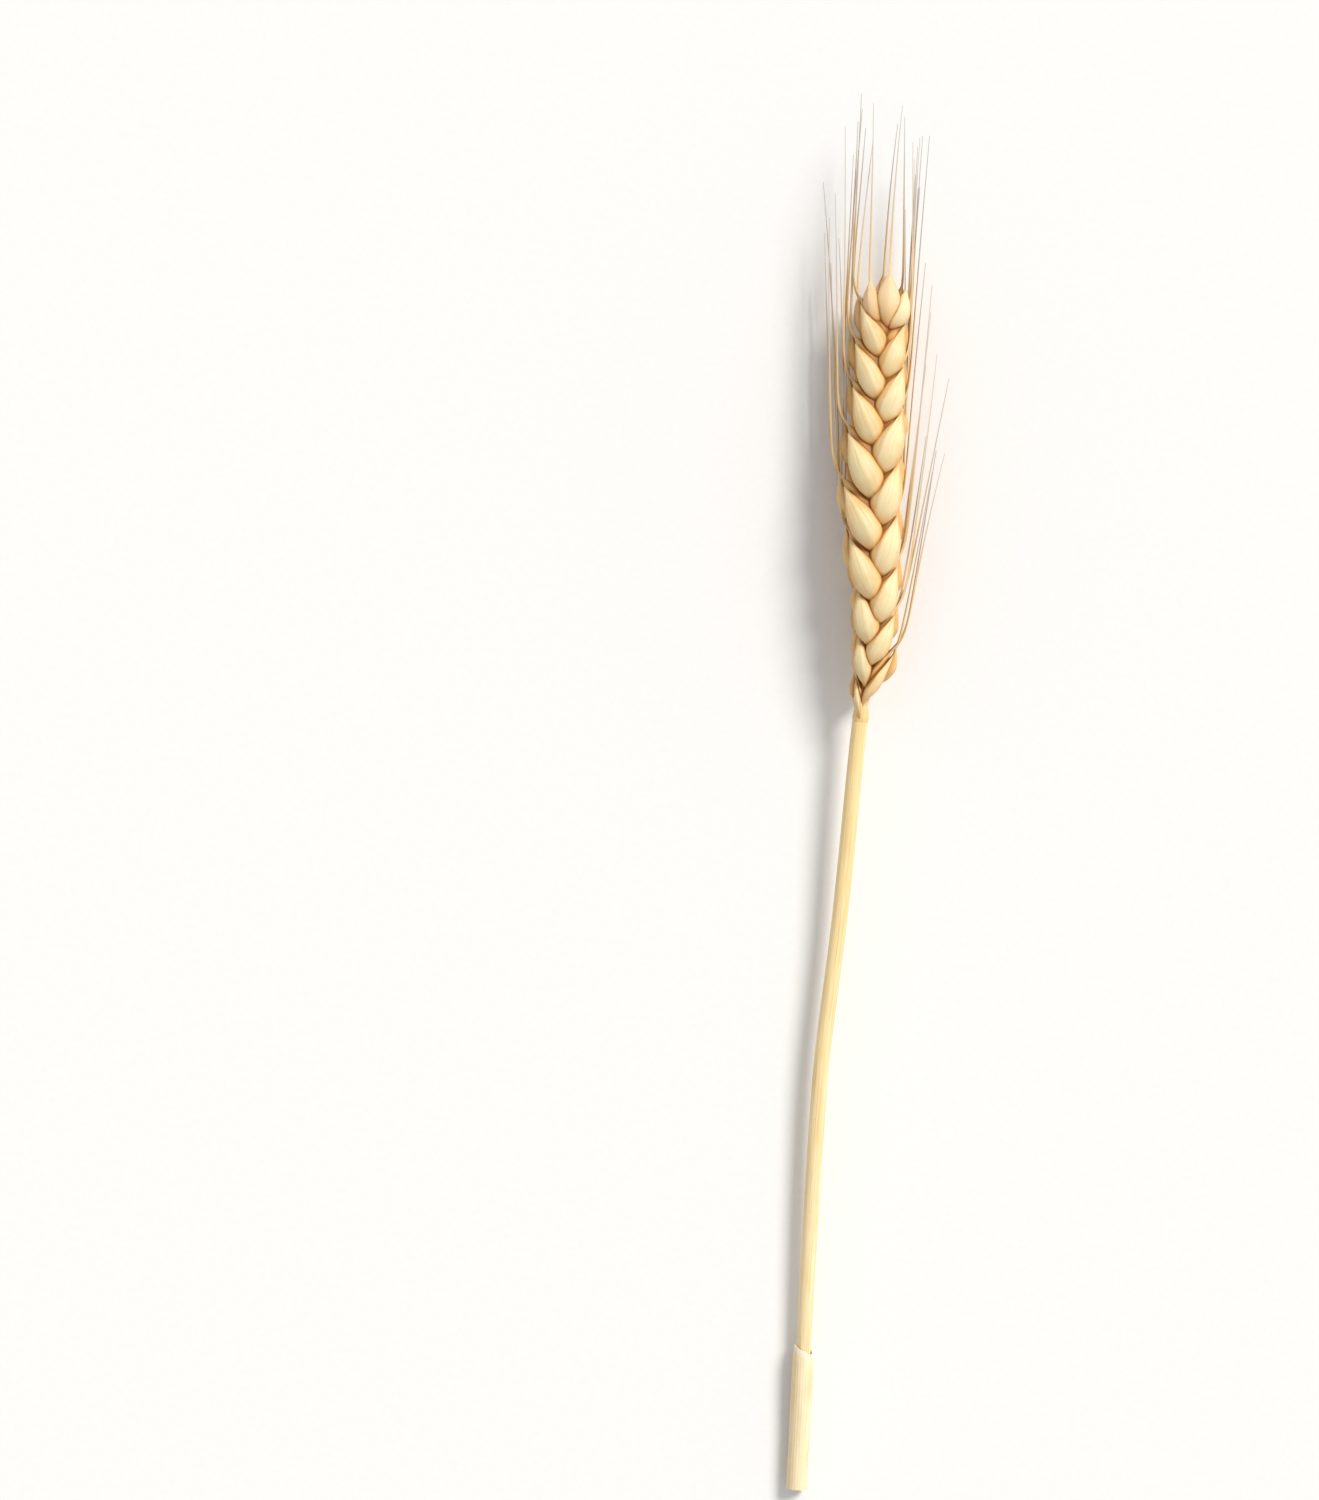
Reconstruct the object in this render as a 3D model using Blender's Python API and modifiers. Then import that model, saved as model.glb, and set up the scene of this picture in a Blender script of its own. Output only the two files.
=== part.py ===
"""A dried, awned wheat ear on its cut straw, lying on a flat surface.

Metres, +Z up. The stalk lies along +Y with its awns at the +Y end, and +X is to its right seen from above.
It rests at z = 0 on the lowest spikelets of both rows and on the cut end of the leaf sheath.
"""

import math
import random
from collections import namedtuple

import bmesh
import bpy
from mathutils import Vector

MM = 0.001

# Driving dimensions of the whole stalk
CULM_LENGTH = 150 * MM  # cut end to the collar under the ear
EAR_LENGTH = 86 * MM  # collar to the tip of the topmost floret
SHEATH_LENGTH = 28 * MM  # cut end to the mouth of the leaf sheath
GAP = 0.25 * MM  # between neighbouring solids
CUT_END = Vector((0.34 * MM, -134.62 * MM, 0.0))  # where the middle line starts, over the surface

# The middle line: distance from the cut end, and its bow sideways or its height there
BOW = [(0, 0.0), (78, -1.5), (111, -0.1), (146, 0.75), (172, 1.75), (195, 0.55), (236, -0.6)]  # millimetres
HEIGHT = [  # millimetres
    (0, 1.95), (60, 4.0), (110, 5.6), (150, 7.4), (168, 7.65), (188, 7.72), (208, 7.8), (240, 8.2),
]

# The straw: distance from the cut end, and its radius there
CULM_RADIUS = [(0, 1.2), (20, 1.25), (34, 1.4), (60, 1.5), (110, 1.52), (150, 1.5)]  # millimetres
CULM_STEPS = 24
HOLLOW_RADIUS = 0.75 * MM
HOLLOW_DEPTH = 14 * MM
SHEATH_INSIDE = 1.5 * MM
SHEATH_WALL = 0.5 * MM
SHEATH_SLIT = math.radians(34)  # how far the sheath's two edges stand apart
SHEATH_SLIT_AT = math.radians(205)  # from +X, turning up

# The rachis: distance above the collar, and its radius there
COLLAR = 1.2 * MM  # how far the ear's own collar reaches down
RACHIS_RADIUS = [  # millimetres
    (-1.2, 1.4), (-0.4, 1.58), (0.6, 1.5), (3.0, 1.25), (12, 1.2), (60, 0.95), (80, 0.6),
]
COLLAR_RINGS = (-1.2, -0.4, 0.6)  # millimetres
RACHIS_END = 6 * MM  # how far the rachis goes on into the topmost spikelet
RACHIS_ZIGZAG = 0.45 * MM

# Spikelets stand in turn left and right of the rachis, closer together towards both ends
LATERAL_SPIKELETS = 17
FIRST_SPIKELET = 1.5 * MM
# By number from the lowest: the length up to the next, and how far one stands out of its row, how long
# and how broad it is, against full size. Even numbers stand on the left and odd ones on the right.
INTERNODES = [(0, 0.8), (4, 0.96), (7, 1.14), (11, 1.1), (16, 0.84)]
LEFT_REACH = [(0, 0.52), (2, 0.52), (4, 0.66), (6, 0.96), (8, 1.07), (14, 1.06), (16, 1.02)]
RIGHT_REACH = [(1, 1.1), (3, 0.85), (5, 0.74), (7, 0.7), (15, 0.72)]
SPIKELET_SIZE = [
    (0, 0.6), (1, 0.78), (2, 0.76), (3, 0.84), (4, 0.9), (6, 0.99), (10, 1.03), (13, 0.97), (16, 0.88),
]
SPIKELET_WIDTH = [(0, 0.5), (1, 0.55), (2, 0.8), (3, 0.95), (4, 1.0), (13, 1.0), (16, 0.9)]
TERMINAL_SIZE = 0.9
SEED = 7

# The parts of a spikelet in millimetres at full size: u leads away from the rachis, v up its broad side and
# w along the ear. The middle line of each is a curve from base to tip that leans towards belly.
Organ = namedtuple("Organ", "name base belly tip back half_width half_depth awn")
LATERAL_ORGANS = [
    Organ("core", (-0.3, 0.0, -1.2), (2.0, 0.0, 3.8), (4.9, 0.0, 8.6), (1.0, 0.0, -0.4), 4.3, 1.7, 0.0),
    Organ("glume", (-1.5, 4.1, -4.0), (1.7, 7.2, 2.2), (5.2, 4.0, 9.7), (0.14, 1.0, 0.3), 2.8, 1.7, 0.0),
    Organ("floret", (-1.6, 2.8, -1.0), (0.9, 5.2, 5.4), (5.4, 2.4, 11.5), (0.08, 1.0, 0.35), 2.8, 1.75, 1.0),
    Organ("glume", (-1.5, -4.1, -3.8), (1.7, -7.2, 2.4), (5.2, -4.0, 9.9), (0.14, -1.0, 0.3), 2.8, 1.7, 0.0),
    Organ("floret", (-1.6, -2.8, -0.8), (0.9, -5.2, 5.6), (5.4, -2.4, 11.8), (0.08, -1.0, 0.35), 2.8, 1.75, 0.95),
    Organ("centre", (1.4, 0.2, 1.6), (4.6, 0.4, 5.6), (5.7, 0.8, 11.8), (1.0, 0.1, -0.3), 2.8, 1.7, 0.8),
]
TERMINAL_ORGANS = [
    Organ("core", (0.0, 0.0, -2.5), (0.0, 0.0, 4.0), (0.0, 0.0, 9.0), (1.0, 0.0, 0.0), 3.0, 4.0, 0.0),
    Organ("glume", (3.0, 0.6, -0.8), (5.8, 3.6, 3.6), (2.2, 4.2, 9.2), (0.85, 0.5, 0.0), 2.5, 1.5, 0.0),
    Organ("glume", (-3.0, -0.6, -0.8), (-5.8, -3.6, 3.6), (-2.2, -4.2, 9.2), (-0.85, -0.5, 0.0), 2.5, 1.5, 0.0),
    Organ("floret", (3.0, -0.6, -0.6), (5.8, -3.2, 4.4), (2.2, -3.6, 11.0), (0.85, -0.5, 0.0), 2.5, 1.6, 1.0),
    Organ("floret", (-3.0, 0.6, -0.6), (-5.8, 3.2, 4.4), (-2.2, 3.6, 11.0), (-0.85, 0.5, 0.0), 2.5, 1.6, 1.0),
    Organ("centre", (3.6, 0.2, -0.2), (7.2, 0.4, 5.4), (2.2, 0.5, 13.4), (1.0, 0.0, 0.0), 2.7, 1.5, 0.9),
    Organ("centre", (-3.6, -0.2, -0.2), (-7.2, -0.4, 5.4), (-2.2, -0.5, 13.4), (-1.0, 0.0, 0.0), 2.7, 1.5, 0.8),
]
MEAN_INTERNODE = (
    EAR_LENGTH - FIRST_SPIKELET - TERMINAL_SIZE * max(o.tip[2] for o in TERMINAL_ORGANS) * MM
) / LATERAL_SPIKELETS
SCALE_MESH = {"core": (6, 4), "glume": (7, 6), "floret": (8, 6), "centre": (7, 5)}  # sides and rings
FUSED_SHARE = 0.6  # how many of its triangles the fused ear keeps
INNER_SHARE = 0.62  # how deep a scale's inner face is, against its back
KEEL = 0.16  # how far the keel stands out of the back, against the half depth

# Awns: distance above the collar, and the length of an awn that starts there
AWN_LENGTH = [(0, 20), (12, 38), (35, 48), (60, 46), (92, 31)]  # millimetres
AWN_BASE_RADIUS = 0.34 * MM
AWN_TIP_RADIUS = 0.17 * MM
AWN_POINTS = 5
# How far an awn leans away from the ear, as a share of its length, by how high it starts in millimetres
AWN_LEAN = [(0, 0.085), (35, 0.06), (60, 0.02), (80, -0.035), (92, 0.015)]
AWN_STRAY = 0.035  # how far a single awn may differ from that
AWN_BEND = 2.1 * MM  # how soon it turns from its scale's direction towards the ear's
AWN_LOWEST = 0.42 * MM  # the middle line of an awn that lies on the surface

COLOURS = {
    "ear": (0.80, 0.62, 0.36, 1.0),
    "culm": (0.82, 0.62, 0.30, 1.0),
    "leaf_sheath": (0.78, 0.61, 0.37, 1.0),
}
ROUGHNESS = 0.55


def clear_scene():
    for obj in list(bpy.data.objects):
        bpy.data.objects.remove(obj, do_unlink=True)


def collection(name):
    made = bpy.data.collections.new(name)
    bpy.context.scene.collection.children.link(made)
    return made


def through(points, at):
    """The value at a place, on a smooth curve through (place, value) pairs."""
    at = min(max(at, points[0][0]), points[-1][0])
    last = len(points) - 1
    i = next(k for k in range(last) if at <= points[k + 1][0])
    (x0, y0), (x1, y1) = points[i], points[i + 1]

    def slope(k):
        low, high = max(k - 1, 0), min(k + 1, last)
        return (points[high][1] - points[low][1]) / (points[high][0] - points[low][0])

    span = x1 - x0
    t = (at - x0) / span
    rise = y1 - y0
    m0, m1 = slope(i) * span, slope(i + 1) * span
    return y0 + t * (m0 + t * (3 * rise - 2 * m0 - m1 + t * (m0 + m1 - 2 * rise)))


def middle_line(distance):
    """The stalk's middle line, at a distance from the cut end."""
    place = distance / MM
    return CUT_END + Vector((through(BOW, place) * MM, distance, through(HEIGHT, place) * MM))


def stalk_frame(distance):
    """Right, up and along, at a distance from the cut end."""
    step = 1 * MM
    along = (middle_line(distance + step) - middle_line(distance - step)).normalized()
    right = along.cross(Vector((0, 0, 1))).normalized()
    return right, right.cross(along), along


def spikelet_heights():
    """How high above the collar each spikelet stands, the topmost last."""
    shares = [through(INTERNODES, i) for i in range(LATERAL_SPIKELETS)]
    heights = [FIRST_SPIKELET]
    for share in shares:
        heights.append(heights[-1] + MEAN_INTERNODE * share * LATERAL_SPIKELETS / sum(shares))
    return heights


Spikelet = namedtuple("Spikelet", "organs foot out side along height size width lean")


def spikelets():
    """Where each spikelet stands: its foot, its three directions, its height above the collar and its size."""
    rng = random.Random(SEED)
    found = []
    *lateral, top = spikelet_heights()
    for i, height in enumerate(lateral):
        turn, reach = (-1, through(LEFT_REACH, i)) if i % 2 == 0 else (1, through(RIGHT_REACH, i))
        right, up, along = stalk_frame(CULM_LENGTH + height)
        foot = middle_line(CULM_LENGTH + height) + right * (turn * RACHIS_ZIGZAG)
        size = through(SPIKELET_SIZE, i) * rng.uniform(0.97, 1.03)
        width = through(SPIKELET_WIDTH, i)
        lean = rng.uniform(-0.03, 0.03)
        found.append(
            Spikelet(LATERAL_ORGANS, foot, right * (turn * reach), up, along, height, size, width, lean)
        )
    right, up, along = stalk_frame(CULM_LENGTH + top)
    foot = middle_line(CULM_LENGTH + top)
    found.append(Spikelet(TERMINAL_ORGANS, foot, up, right, along, top, TERMINAL_SIZE, 1.0, 0.0))
    return found


def in_spikelet(spikelet, point):
    u, v, w = (x * MM * spikelet.size for x in point)
    v *= spikelet.width
    return spikelet.foot + spikelet.out * (u + spikelet.lean * w) + spikelet.side * v + spikelet.along * w


def scale_line(spikelet, organ, t):
    """A scale's middle line, at a share t of the way from base to tip."""
    base, belly, tip = (in_spikelet(spikelet, p) for p in (organ.base, organ.belly, organ.tip))
    return base * (1 - t) ** 2 + belly * (2 * t * (1 - t)) + tip * t**2


def scale_point(spikelet, organ, t, angle):
    """A point of a scale's surface: t from base to tip, and the angle round it with the keel at a quarter turn."""
    step = 0.01
    centre = scale_line(spikelet, organ, t)
    tangent = (scale_line(spikelet, organ, t + step) - scale_line(spikelet, organ, t - step)).normalized()
    u, v, w = organ.back
    back = spikelet.out * u + spikelet.side * v + spikelet.along * w
    across = tangent.cross(back).normalized()
    back = across.cross(tangent)
    fullness = max(math.sin(math.pi * t**0.92), 0.0) ** 1.2 * spikelet.size * MM
    depth = math.sin(angle)
    if depth > 0:
        depth += KEEL * depth**8
    else:
        depth *= INNER_SHARE
    return centre + fullness * (
        across * (organ.half_width * spikelet.width * math.cos(angle)) + back * (organ.half_depth * depth)
    )


def mesh_object(name, bm, home):
    mesh = bpy.data.meshes.new(name)
    bm.to_mesh(mesh)
    bm.free()
    obj = bpy.data.objects.new(name, mesh)
    home.objects.link(obj)
    return obj


def add_scale(spikelet, organ, home):
    """One glume or floret: a ball drawn out into a keeled boat."""
    bm = bmesh.new()
    sides, rings = SCALE_MESH[organ.name]
    bmesh.ops.create_uvsphere(bm, u_segments=sides, v_segments=rings, radius=1)
    for vert in bm.verts:
        t = math.acos(max(-1.0, min(1.0, vert.co.z))) / math.pi
        vert.co = scale_point(spikelet, organ, t, math.atan2(vert.co.y, vert.co.x))
    return mesh_object(organ.name, bm, home)


def awn_line(spikelet, organ, rng):
    """The points of an awn, from inside its scale to its tip. One that would dip under the surface lies on it."""
    tip = in_spikelet(spikelet, organ.tip)
    height = spikelet.height / MM + organ.tip[2]
    length = through(AWN_LENGTH, height) * MM * organ.awn * rng.uniform(0.88, 1.12)
    away = Vector((organ.tip[0], organ.tip[1])).normalized()
    lean = away * through(AWN_LEAN, height)
    lean += Vector((rng.uniform(-1, 1), rng.uniform(-1, 1))) * AWN_STRAY
    curl = Vector((rng.uniform(-1, 1), rng.uniform(-1, 1))) * AWN_STRAY
    slope = Vector((organ.tip[0] - organ.belly[0], organ.tip[1] - organ.belly[1]))
    slope /= organ.tip[2] - organ.belly[2]
    points = [scale_line(spikelet, organ, 0.86)]
    for k in range(1, AWN_POINTS):
        share = k / (AWN_POINTS - 1)
        run = share * length
        turned = slope * (AWN_BEND * (1 - math.exp(-run / AWN_BEND)))
        off = turned + lean * run + curl * (run * share)
        point = tip + spikelet.along * run + spikelet.out * off.x + spikelet.side * off.y
        over = (point.z - AWN_LOWEST) / MM
        point.z = AWN_LOWEST + MM * (over + math.sqrt(over * over + 0.2)) / 2
        points.append(point)
    return points


def tube_object(name, points, radii, resolution, home):
    """A tapered round rod along the points, as a closed mesh."""
    curve = bpy.data.curves.new(name, "CURVE")
    curve.dimensions = "3D"
    curve.bevel_depth = 1.0
    curve.bevel_resolution = resolution
    curve.use_fill_caps = True
    spline = curve.splines.new("POLY")
    spline.points.add(len(points) - 1)
    for at, point, radius in zip(spline.points, points, radii):
        at.co = (*point, 1)
        at.radius = radius
    drawn = bpy.data.objects.new(name, curve)
    home.objects.link(drawn)
    graph = bpy.context.evaluated_depsgraph_get()
    mesh = bpy.data.meshes.new_from_object(drawn.evaluated_get(graph))
    bpy.data.objects.remove(drawn)
    bpy.data.curves.remove(curve)
    bm = bmesh.new()
    bm.from_mesh(mesh)
    bpy.data.meshes.remove(mesh)
    bmesh.ops.remove_doubles(bm, verts=bm.verts, dist=1e-7)
    bmesh.ops.recalc_face_normals(bm, faces=bm.faces)
    return mesh_object(name, bm, home)


def add_awn(spikelet, organ, rng, home):
    points = awn_line(spikelet, organ, rng)
    radii = [
        AWN_BASE_RADIUS + (AWN_TIP_RADIUS - AWN_BASE_RADIUS) * k / (len(points) - 1)
        for k in range(len(points))
    ]
    return tube_object("awn", points, radii, 0, home)


def applied(obj):
    """Puts the evaluated mesh in the object's place and drops its modifiers."""
    graph = bpy.context.evaluated_depsgraph_get()
    mesh = bpy.data.meshes.new_from_object(obj.evaluated_get(graph))
    obj.modifiers.clear()
    obj.data = mesh


def keep_largest_shell(obj):
    """Fills hollows that the union sealed and drops loose scraps: both are shells of their own."""
    bm = bmesh.new()
    bm.from_mesh(obj.data)
    bmesh.ops.triangulate(bm, faces=bm.faces)
    left = set(bm.faces)
    shells = []
    while left:
        reached = [left.pop()]
        for face in reached:
            for edge in face.edges:
                for other in edge.link_faces:
                    if other in left:
                        left.remove(other)
                        reached.append(other)
        shells.append(reached)
    largest = max(shells, key=len)
    loose = [face for shell in shells if shell is not largest for face in shell]
    bmesh.ops.delete(bm, geom=loose, context="FACES")
    bm.to_mesh(obj.data)
    bm.free()


def rachis_line(height):
    """The rachis, at a height above the collar. It leans to and fro from one spikelet's foot to the next."""
    right = stalk_frame(CULM_LENGTH + height)[0]
    number = through([(h, i) for i, h in enumerate(spikelet_heights())], height)
    zigzag = RACHIS_ZIGZAG * math.cos(math.pi * number) if height > FIRST_SPIKELET else 0.0
    return middle_line(CULM_LENGTH + height) - right * zigzag * 0.5


def make_ear(home, surface):
    """The rachis with every scale and awn fused to it."""
    repeats = collection("ear_repeats")
    rng = random.Random(SEED + 1)
    for spikelet in spikelets():
        for organ in spikelet.organs:
            add_scale(spikelet, organ, repeats)
            if organ.awn:
                add_awn(spikelet, organ, rng, repeats)
    heights = [h * MM for h in COLLAR_RINGS] + spikelet_heights()
    heights += [heights[-1] + RACHIS_END / 2, heights[-1] + RACHIS_END]
    radii = [through(RACHIS_RADIUS, h / MM) * MM for h in heights]
    ear = tube_object("ear", [rachis_line(h) for h in heights], radii, 2, home)
    union = ear.modifiers.new("fuse", "BOOLEAN")
    union.operation = "UNION"
    union.operand_type = "COLLECTION"
    union.collection = repeats
    union.solver = "MANIFOLD"
    applied(ear)
    for obj in list(repeats.objects):
        bpy.data.objects.remove(obj, do_unlink=True)
    bpy.data.collections.remove(repeats)
    keep_largest_shell(ear)
    thinned = ear.modifiers.new("thinned", "DECIMATE")
    thinned.ratio = FUSED_SHARE
    cut(ear, surface, "surface")
    applied(ear)
    keep_largest_shell(ear)
    return ear


def make_culm(home, cutters):
    """The straw, hollow at its cut end."""
    top = CULM_LENGTH - COLLAR - GAP
    distances = [top * k / CULM_STEPS for k in range(CULM_STEPS + 1)]
    radii = [through(CULM_RADIUS, d / MM) * MM for d in distances]
    culm = tube_object("culm", [middle_line(d) for d in distances], radii, 4, home)
    hollow = tube_object(
        "culm_hollow",
        [middle_line(d) for d in (-1 * MM, HOLLOW_DEPTH * 0.8, HOLLOW_DEPTH)],
        [HOLLOW_RADIUS, HOLLOW_RADIUS, HOLLOW_RADIUS * 0.4],
        2,
        cutters,
    )
    cut(culm, hollow, "hollow")
    return culm


def make_leaf_sheath(home):
    """The sheath: an open tube round the straw, slit along one side, with a slanting mouth."""
    bm = bmesh.new()
    rings, columns = 9, 19
    grid = []
    for r in range(rings):
        row = []
        for c in range(columns):
            share = c / (columns - 1)
            angle = SHEATH_SLIT_AT + SHEATH_SLIT / 2 + share * (math.tau - SHEATH_SLIT)
            mouth = SHEATH_LENGTH - 1.6 * MM * (0.5 - 0.5 * math.cos(math.tau * share))
            distance = mouth * r / (rings - 1)
            right, up, _ = stalk_frame(distance)
            radius = SHEATH_INSIDE + 0.1 * MM * r / (rings - 1)
            turned = right * math.cos(angle) + up * math.sin(angle)
            row.append(bm.verts.new(middle_line(distance) + radius * turned))
        grid.append(row)
    for low, high in zip(grid, grid[1:]):
        for c in range(columns - 1):
            bm.faces.new((low[c], low[c + 1], high[c + 1], high[c]))
    bmesh.ops.recalc_face_normals(bm, faces=bm.faces)
    sheath = mesh_object("leaf_sheath", bm, home)
    wall = sheath.modifiers.new("wall", "SOLIDIFY")
    wall.thickness = SHEATH_WALL
    wall.offset = 1
    applied(sheath)
    return sheath


def cut(obj, cutter, name):
    cutter.hide_render = True
    cutter.display_type = "WIRE"
    modifier = obj.modifiers.new(name, "BOOLEAN")
    modifier.operation = "DIFFERENCE"
    modifier.object = cutter
    modifier.solver = "EXACT"


def make_surface(cutters):
    """What the stalk lies on, as a cutter: it presses a small flat spot into whatever reaches below z = 0."""
    bm = bmesh.new()
    bmesh.ops.create_cube(bm, size=1)
    thickness = 10 * MM
    for vert in bm.verts:
        vert.co = Vector((vert.co.x * 0.2, vert.co.y * 0.5, (vert.co.z - 0.5) * thickness))
    return mesh_object("surface", bm, cutters)


def finish(obj):
    material = bpy.data.materials.new(obj.name)
    material.use_nodes = True
    shader = material.node_tree.nodes["Principled BSDF"]
    shader.inputs["Base Color"].default_value = COLOURS[obj.name]
    shader.inputs["Roughness"].default_value = ROUGHNESS
    shader.inputs["Metallic"].default_value = 0.0
    obj.data.materials.clear()
    obj.data.materials.append(material)
    obj.data.shade_smooth()
    obj.data.set_sharp_from_angle(angle=math.radians(40))


def main():
    clear_scene()
    home = collection("wheat_ear")
    cutters = collection("cutters")
    cutters.hide_render = True
    surface = make_surface(cutters)
    sheath = make_leaf_sheath(home)
    cut(sheath, surface, "surface")
    for obj in (make_ear(home, surface), make_culm(home, cutters), sheath):
        finish(obj)


main()
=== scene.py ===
"""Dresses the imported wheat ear: thin glumes and lemmas, barbed awns, ribbed straw and a papery leaf sheath.

Metres, +Z up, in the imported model's frame. The stalk lies along +Y, with its awns at the +Y end.
"""

import math
import random
from collections import namedtuple

import bpy
import numpy as np
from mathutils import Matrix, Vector
from mathutils.bvhtree import BVHTree


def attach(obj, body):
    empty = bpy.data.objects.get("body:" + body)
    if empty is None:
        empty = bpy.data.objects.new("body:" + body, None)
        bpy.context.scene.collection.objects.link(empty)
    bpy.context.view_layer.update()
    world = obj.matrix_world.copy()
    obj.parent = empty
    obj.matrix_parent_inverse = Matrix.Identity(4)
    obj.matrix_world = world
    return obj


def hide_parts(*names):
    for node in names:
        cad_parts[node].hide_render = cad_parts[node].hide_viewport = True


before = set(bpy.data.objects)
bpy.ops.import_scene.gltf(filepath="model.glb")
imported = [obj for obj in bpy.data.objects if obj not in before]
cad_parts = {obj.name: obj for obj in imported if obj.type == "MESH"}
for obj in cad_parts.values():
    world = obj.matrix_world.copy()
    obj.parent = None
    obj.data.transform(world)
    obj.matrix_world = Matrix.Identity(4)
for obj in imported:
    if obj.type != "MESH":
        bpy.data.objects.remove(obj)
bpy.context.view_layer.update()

MM = 0.001

# ---------------------------------------------------------------------------------------------------------
# The stalk's own measures, as the solids have them
# ---------------------------------------------------------------------------------------------------------

CULM_LENGTH = 150 * MM
EAR_LENGTH = 86 * MM
SHEATH_LENGTH = 28 * MM
CUT_END = Vector((0.34 * MM, -134.62 * MM, 0.0))  # on the surface, below where the middle line starts

# The middle line: millimetres from the cut end, and its bow sideways or its height there in millimetres
BOW = [(0, 0.0), (78, -1.5), (111, -0.1), (146, 0.75), (172, 1.75), (195, 0.55), (236, -0.6)]
HEIGHT = [(0, 1.95), (60, 4.0), (110, 5.6), (150, 7.4), (168, 7.65), (188, 7.72), (208, 7.8), (240, 8.2)]

# The straw: millimetres from the cut end, and its radius there in millimetres
CULM_RADIUS = [(0, 1.2), (20, 1.25), (34, 1.4), (60, 1.5), (110, 1.52), (150, 1.5)]
HOLLOW_RADIUS = 0.75 * MM
HOLLOW_DEPTH = 14 * MM
SHEATH_INSIDE = 1.5 * MM
SHEATH_WALL = 0.5 * MM
SHEATH_SLIT = math.radians(34)  # how far the sheath's two edges stand apart
SHEATH_SLIT_AT = math.radians(205)  # from +X, turning up

# The rachis: millimetres above the collar, and its radius there in millimetres
COLLAR = 1.2 * MM  # how far the ear's own collar reaches down
RACHIS_RADIUS = [(-1.2, 1.4), (-0.4, 1.58), (0.6, 1.5), (3.0, 1.25), (12, 1.2), (60, 0.95), (80, 0.6)]
RACHIS_END = 6 * MM  # how far the rachis goes on into the topmost spikelet
RACHIS_ZIGZAG = 0.45 * MM

# Spikelets stand in turn left and right of the rachis, the even numbers on the left. By number from the
# lowest: the length up to the next, how far each reaches out, its size and its width, all as shares.
LATERAL_SPIKELETS = 17
FIRST_SPIKELET = 1.5 * MM
INTERNODES = [(0, 0.8), (4, 0.96), (7, 1.14), (11, 1.1), (16, 0.84)]
LEFT_REACH = [(0, 0.52), (2, 0.52), (4, 0.66), (6, 0.96), (8, 1.07), (14, 1.06), (16, 1.02)]
RIGHT_REACH = [(1, 1.1), (3, 0.85), (5, 0.74), (7, 0.7), (15, 0.72)]
SPIKELET_SIZE = [
    (0, 0.6), (1, 0.78), (2, 0.76), (3, 0.84), (4, 0.9), (6, 0.99), (10, 1.03), (13, 0.97), (16, 0.88),
]
SPIKELET_WIDTH = [(0, 0.5), (1, 0.55), (2, 0.8), (3, 0.95), (4, 1.0), (13, 1.0), (16, 0.9)]
TERMINAL_SIZE = 0.9
SEED = 7

# The parts of a spikelet, in millimetres at full size. Their u leads out from the rachis, v to the side (up
# in all but the topmost spikelet) and w along the ear. The middle line of each runs from base to tip, drawn
# towards belly. back is where its back faces, and awn its awn's length as a share.
Organ = namedtuple("Organ", "name base belly tip back half_width half_depth awn")
LATERAL_ORGANS = [
    Organ("core", (-0.3, 0.0, -1.2), (2.0, 0.0, 3.8), (4.9, 0.0, 8.6), (1.0, 0.0, -0.4), 4.3, 1.7, 0.0),
    Organ("glume", (-1.5, 4.1, -4.0), (1.7, 7.2, 2.2), (5.2, 4.0, 9.7), (0.14, 1.0, 0.3), 2.8, 1.7, 0.0),
    Organ("floret", (-1.6, 2.8, -1.0), (0.9, 5.2, 5.4), (5.4, 2.4, 11.5), (0.08, 1.0, 0.35), 2.8, 1.75, 1.0),
    Organ("glume", (-1.5, -4.1, -3.8), (1.7, -7.2, 2.4), (5.2, -4.0, 9.9), (0.14, -1.0, 0.3), 2.8, 1.7, 0.0),
    Organ("floret", (-1.6, -2.8, -0.8), (0.9, -5.2, 5.6), (5.4, -2.4, 11.8), (0.08, -1.0, 0.35), 2.8, 1.75, 0.95),
    Organ("centre", (1.4, 0.2, 1.6), (4.6, 0.4, 5.6), (5.7, 0.8, 11.8), (1.0, 0.1, -0.3), 2.8, 1.7, 0.8),
]
TERMINAL_ORGANS = [
    Organ("core", (0.0, 0.0, -2.5), (0.0, 0.0, 4.0), (0.0, 0.0, 9.0), (1.0, 0.0, 0.0), 3.0, 4.0, 0.0),
    Organ("glume", (3.0, 0.6, -0.8), (5.8, 3.6, 3.6), (2.2, 4.2, 9.2), (0.85, 0.5, 0.0), 2.5, 1.5, 0.0),
    Organ("glume", (-3.0, -0.6, -0.8), (-5.8, -3.6, 3.6), (-2.2, -4.2, 9.2), (-0.85, -0.5, 0.0), 2.5, 1.5, 0.0),
    Organ("floret", (3.0, -0.6, -0.6), (5.8, -3.2, 4.4), (2.2, -3.6, 11.0), (0.85, -0.5, 0.0), 2.5, 1.6, 1.0),
    Organ("floret", (-3.0, 0.6, -0.6), (-5.8, 3.2, 4.4), (-2.2, 3.6, 11.0), (-0.85, 0.5, 0.0), 2.5, 1.6, 1.0),
    Organ("centre", (3.6, 0.2, -0.2), (7.2, 0.4, 5.4), (2.2, 0.5, 13.4), (1.0, 0.0, 0.0), 2.7, 1.5, 0.9),
    Organ("centre", (-3.6, -0.2, -0.2), (-7.2, -0.4, 5.4), (-2.2, -0.5, 13.4), (-1.0, 0.0, 0.0), 2.7, 1.5, 0.8),
]
MEAN_INTERNODE = (
    EAR_LENGTH - FIRST_SPIKELET - TERMINAL_SIZE * max(o.tip[2] for o in TERMINAL_ORGANS) * MM
) / LATERAL_SPIKELETS
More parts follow.
